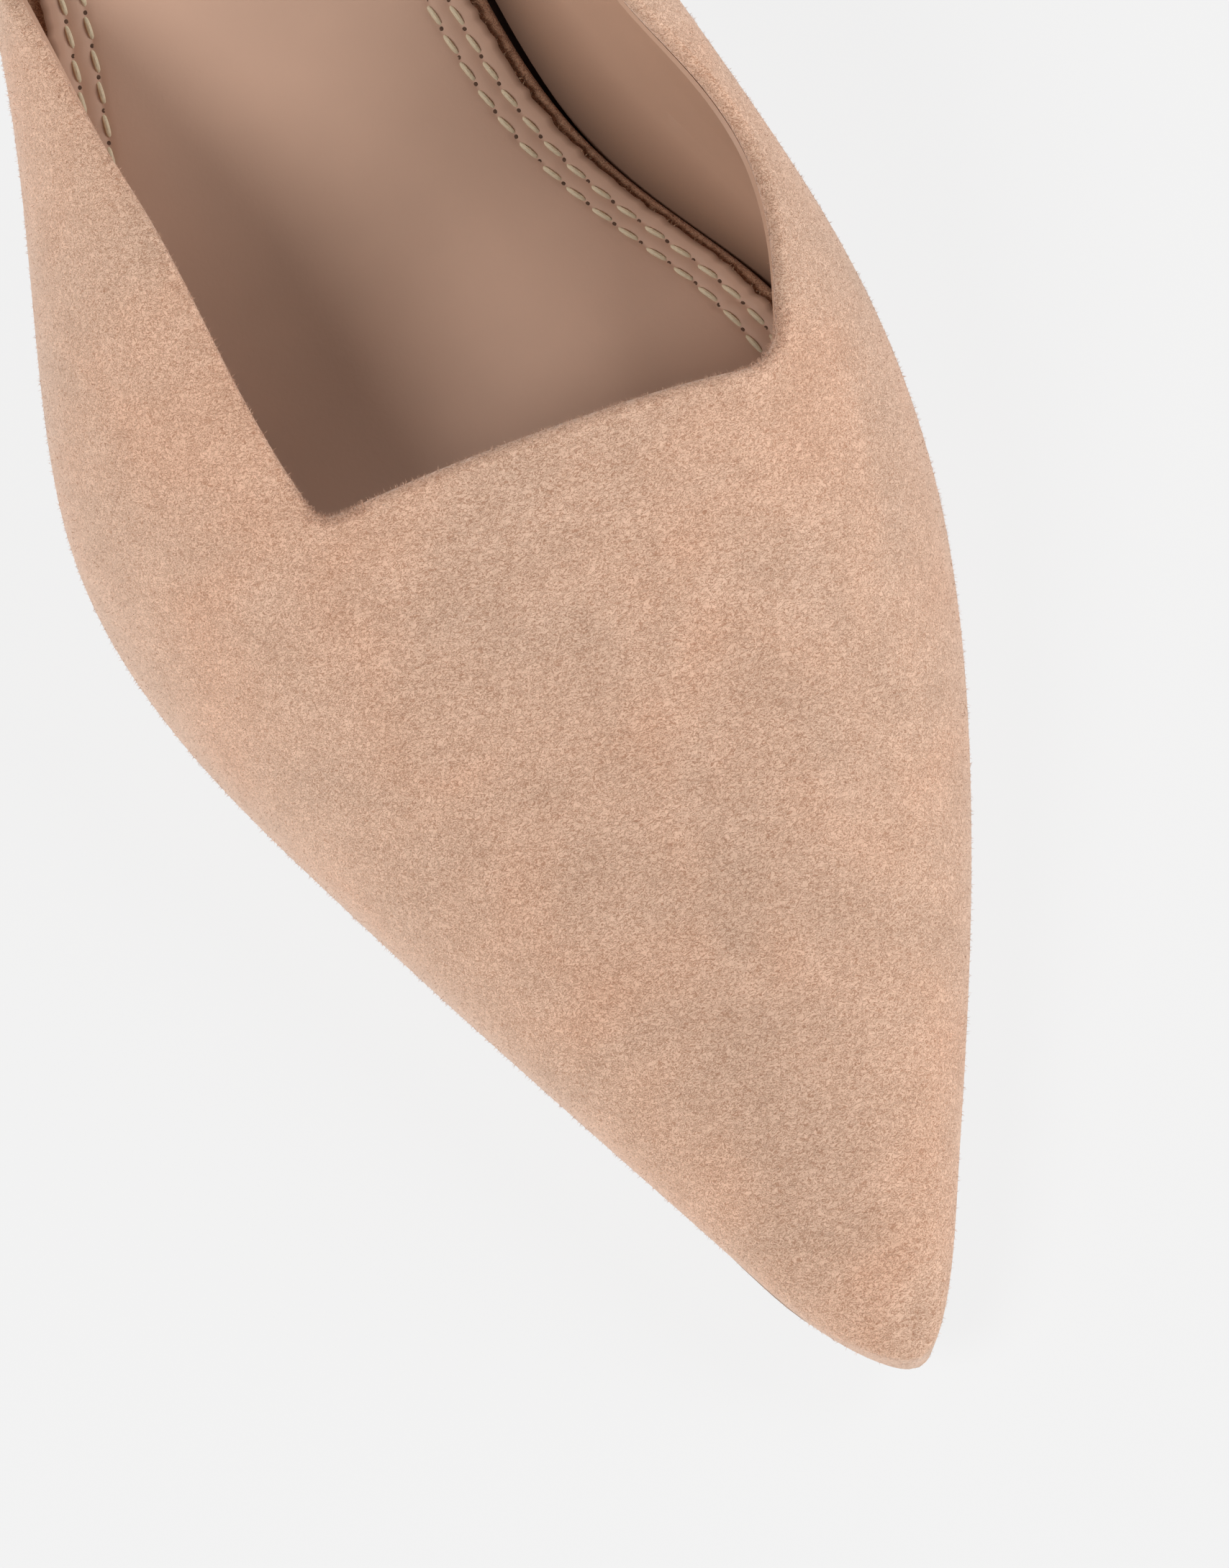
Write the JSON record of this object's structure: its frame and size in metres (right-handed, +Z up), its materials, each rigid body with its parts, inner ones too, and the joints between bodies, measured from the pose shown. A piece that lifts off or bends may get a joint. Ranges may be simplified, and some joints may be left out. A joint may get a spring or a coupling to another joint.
{
  "type": "high heel pump",
  "caption": "Pointed-toe high heel pump with a square throat, open waist, closed heel cup and slim covered heel, for the right foot.",
  "frame": {"origin": "middle of the footprint, on the floor that the sole and the heel tip stand on", "axes": "+Z up, -Y towards the toe tip, +Y towards the heel, +X towards the inner side of the foot"},
  "size_m": [0.085, 0.2384, 0.1475],
  "materials": {
    "suede": "matte brushed nap, beige",
    "lining": "smooth matte, beige",
    "sock": "smooth satin, tan",
    "thread": "twisted cream thread",
    "tape": "woven, off-white",
    "board": "pressed fibre board, brown",
    "foam": "soft foam, cream",
    "steel": "bare steel",
    "sole": "matte, dark brown",
    "filler": "pressed cork, brown",
    "abs": "moulded, ivory",
    "tip": "hard plastic, dark brown"
  },
  "bodies": {
    "root": {"vamp_outer": "suede", "toe_puff": "tape", "vamp_backer": "tape", "topline_tape": "tape", "vamp_lining": "lining", "counter_outer": "suede", "counter_stiffener": "abs", "counter_tape": "tape", "counter_lining": "lining", "insole_board": "board", "sock_foam": "foam", "sock_lining": "sock", "stitch_row_outer": "thread", "stitch_row_inner": "thread", "insole_wrap_lateral": "suede", "insole_wrap_medial": "suede", "shank": "steel", "outsole": "sole", "bottom_filler": "filler", "heel_core": "abs", "heel_cover": "suede", "heel_tube": "steel", "heel_tip": "tip", "heel_tip_pin": "steel", "heel_nail_1": "steel", "heel_nail_2": "steel", "heel_nail_3": "steel", "heel_nail_4": "steel", "heel_screw": "steel", "shank_rivet_front": "steel", "shank_rivet_back": "steel"}
  },
  "joints": []
}
